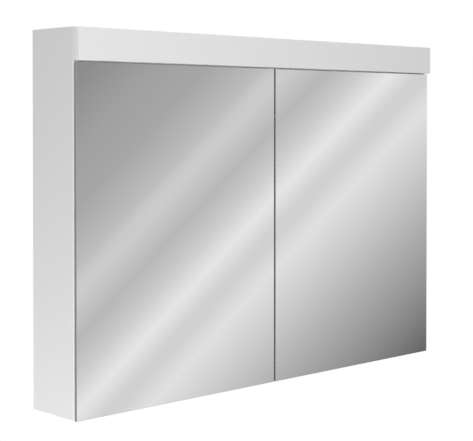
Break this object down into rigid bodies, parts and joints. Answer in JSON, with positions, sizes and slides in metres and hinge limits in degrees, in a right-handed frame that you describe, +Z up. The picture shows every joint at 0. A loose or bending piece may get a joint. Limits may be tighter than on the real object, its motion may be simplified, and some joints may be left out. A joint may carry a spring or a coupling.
{
  "type": "bathroom mirror cabinet",
  "caption": "Wall-hung mirror cabinet: white board body, frameless overlay mirror doors on concealed link hinges, glass shelves and a fascia with a light above.",
  "frame": {"origin": "middle of the four wall screws, on the wall plane", "axes": "+X to the right of someone facing the doors, +Y into the wall, +Z up"},
  "size_m": [1, 0.148, 0.71],
  "materials": {
    "coated_board": "white melamine-coated board, satin",
    "beech": "turned beech",
    "anodised_aluminium": "clear anodised",
    "circuit_board": "white solder mask",
    "light_chip": "yellow phosphor in a white package",
    "opal_plastic": "opal, satin",
    "white_plastic": "white, slightly glossy",
    "grey_plastic": "light grey moulded",
    "cable_sheath": "white PVC sheath",
    "contact_brass": "bright",
    "shelf_glass": "clear float glass, ground edges",
    "nickel_steel": "nickel plated",
    "zinc_steel": "zinc plated",
    "mirror_glass": "silvered float glass, ground edges",
    "clear_buffer": "clear soft plastic"
  },
  "bodies": {
    "cabinet": {"side_left": "coated_board", "side_right": "coated_board", "top_panel": "coated_board", "bottom_panel": "coated_board", "light_deck": "coated_board", "partition": "coated_board", "back_panel": "coated_board", "fascia": "coated_board", "dowels": "beech", "light_profile": "anodised_aluminium", "light_board": "circuit_board", "light_chips": "light_chip", "light_diffuser": "opal_plastic", "light_driver": "white_plastic", "power_housing": "white_plastic", "socket_insert": "white_plastic", "hanger_left": "white_plastic", "hanger_right": "white_plastic", "light_end_caps": "white_plastic", "switch_frame": "white_plastic", "cable_gland": "grey_plastic", "gland_nut": "grey_plastic", "light_lead": "cable_sheath", "supply_leads": "cable_sheath", "earth_clips": "contact_brass", "shelf_left_lower": "shelf_glass", "shelf_left_upper": "shelf_glass", "shelf_right_lower": "shelf_glass", "shelf_right_upper": "shelf_glass", "shelf_pins": "nickel_steel", "driver_screws": "nickel_steel", "hanger_hooks": "nickel_steel", "hanger_screws": "nickel_steel", "hinge_left_plates": "nickel_steel", "hinge_left_arms": "nickel_steel", "hinge_left_screws": "nickel_steel", "hinge_left_arm_pins": "nickel_steel", "hinge_right_plates": "nickel_steel", "hinge_right_arms": "nickel_steel", "hinge_right_screws": "nickel_steel", "hinge_right_arm_pins": "nickel_steel", "wall_bracket_left": "zinc_steel", "wall_bracket_right": "zinc_steel"},
    "door_left": {"door_left_mirror": "mirror_glass", "door_left_inner_mirror": "mirror_glass", "door_left_buffers": "clear_buffer", "hinge_left_housings": "nickel_steel", "hinge_left_housing_pins": "nickel_steel"},
    "door_right": {"door_right_mirror": "mirror_glass", "door_right_inner_mirror": "mirror_glass", "door_right_buffers": "clear_buffer", "hinge_right_housings": "nickel_steel", "hinge_right_housing_pins": "nickel_steel"},
    "rocker": {"rocker": "white_plastic"},
    "inner_links_left": {"hinge_left_inner_links": "nickel_steel"},
    "outer_links_left": {"hinge_left_outer_links": "nickel_steel"},
    "inner_links_right": {"hinge_right_inner_links": "nickel_steel"},
    "outer_links_right": {"hinge_right_outer_links": "nickel_steel"}
  },
  "joints": [
    {"name": "inner_links_left_turn", "type": "hinge", "parent": "cabinet", "child": "inner_links_left", "pos_m": [-0.4586, -0.1289, 0], "axis": [0, 0, 1], "range_deg": [0, 96]},
    {"name": "door_left_swing", "type": "hinge", "parent": "inner_links_left", "child": "door_left", "pos_m": [-0.4806, -0.1263, 0], "axis": [0, 0, -1], "range_deg": [0, 196]},
    {"name": "outer_links_left_turn", "type": "hinge", "parent": "cabinet", "child": "outer_links_left", "pos_m": [-0.4368, -0.1094, 0], "axis": [0, 0, 1], "range_deg": [0, 59]},
    {"name": "inner_links_right_turn", "type": "hinge", "parent": "cabinet", "child": "inner_links_right", "pos_m": [0.4586, -0.1289, 0], "axis": [0, 0, -1], "range_deg": [0, 96]},
    {"name": "door_right_swing", "type": "hinge", "parent": "inner_links_right", "child": "door_right", "pos_m": [0.4806, -0.1263, 0], "axis": [0, 0, 1], "range_deg": [0, 196]},
    {"name": "outer_links_right_turn", "type": "hinge", "parent": "cabinet", "child": "outer_links_right", "pos_m": [0.4368, -0.1094, 0], "axis": [0, 0, -1], "range_deg": [0, 59]},
    {"name": "rocker_tip", "type": "hinge", "parent": "cabinet", "child": "rocker", "pos_m": [0.156, -0.1075, 0.05], "axis": [-1, 0, 0], "range_deg": [0, 12]}
  ],
  "couplings": [
    {"joint": "door_left_swing", "follows": "inner_links_left_turn", "ratio": 2},
    {"joint": "outer_links_left_turn", "follows": "inner_links_left_turn", "ratio": 0.6},
    {"joint": "door_right_swing", "follows": "inner_links_right_turn", "ratio": 2},
    {"joint": "outer_links_right_turn", "follows": "inner_links_right_turn", "ratio": 0.6}
  ]
}
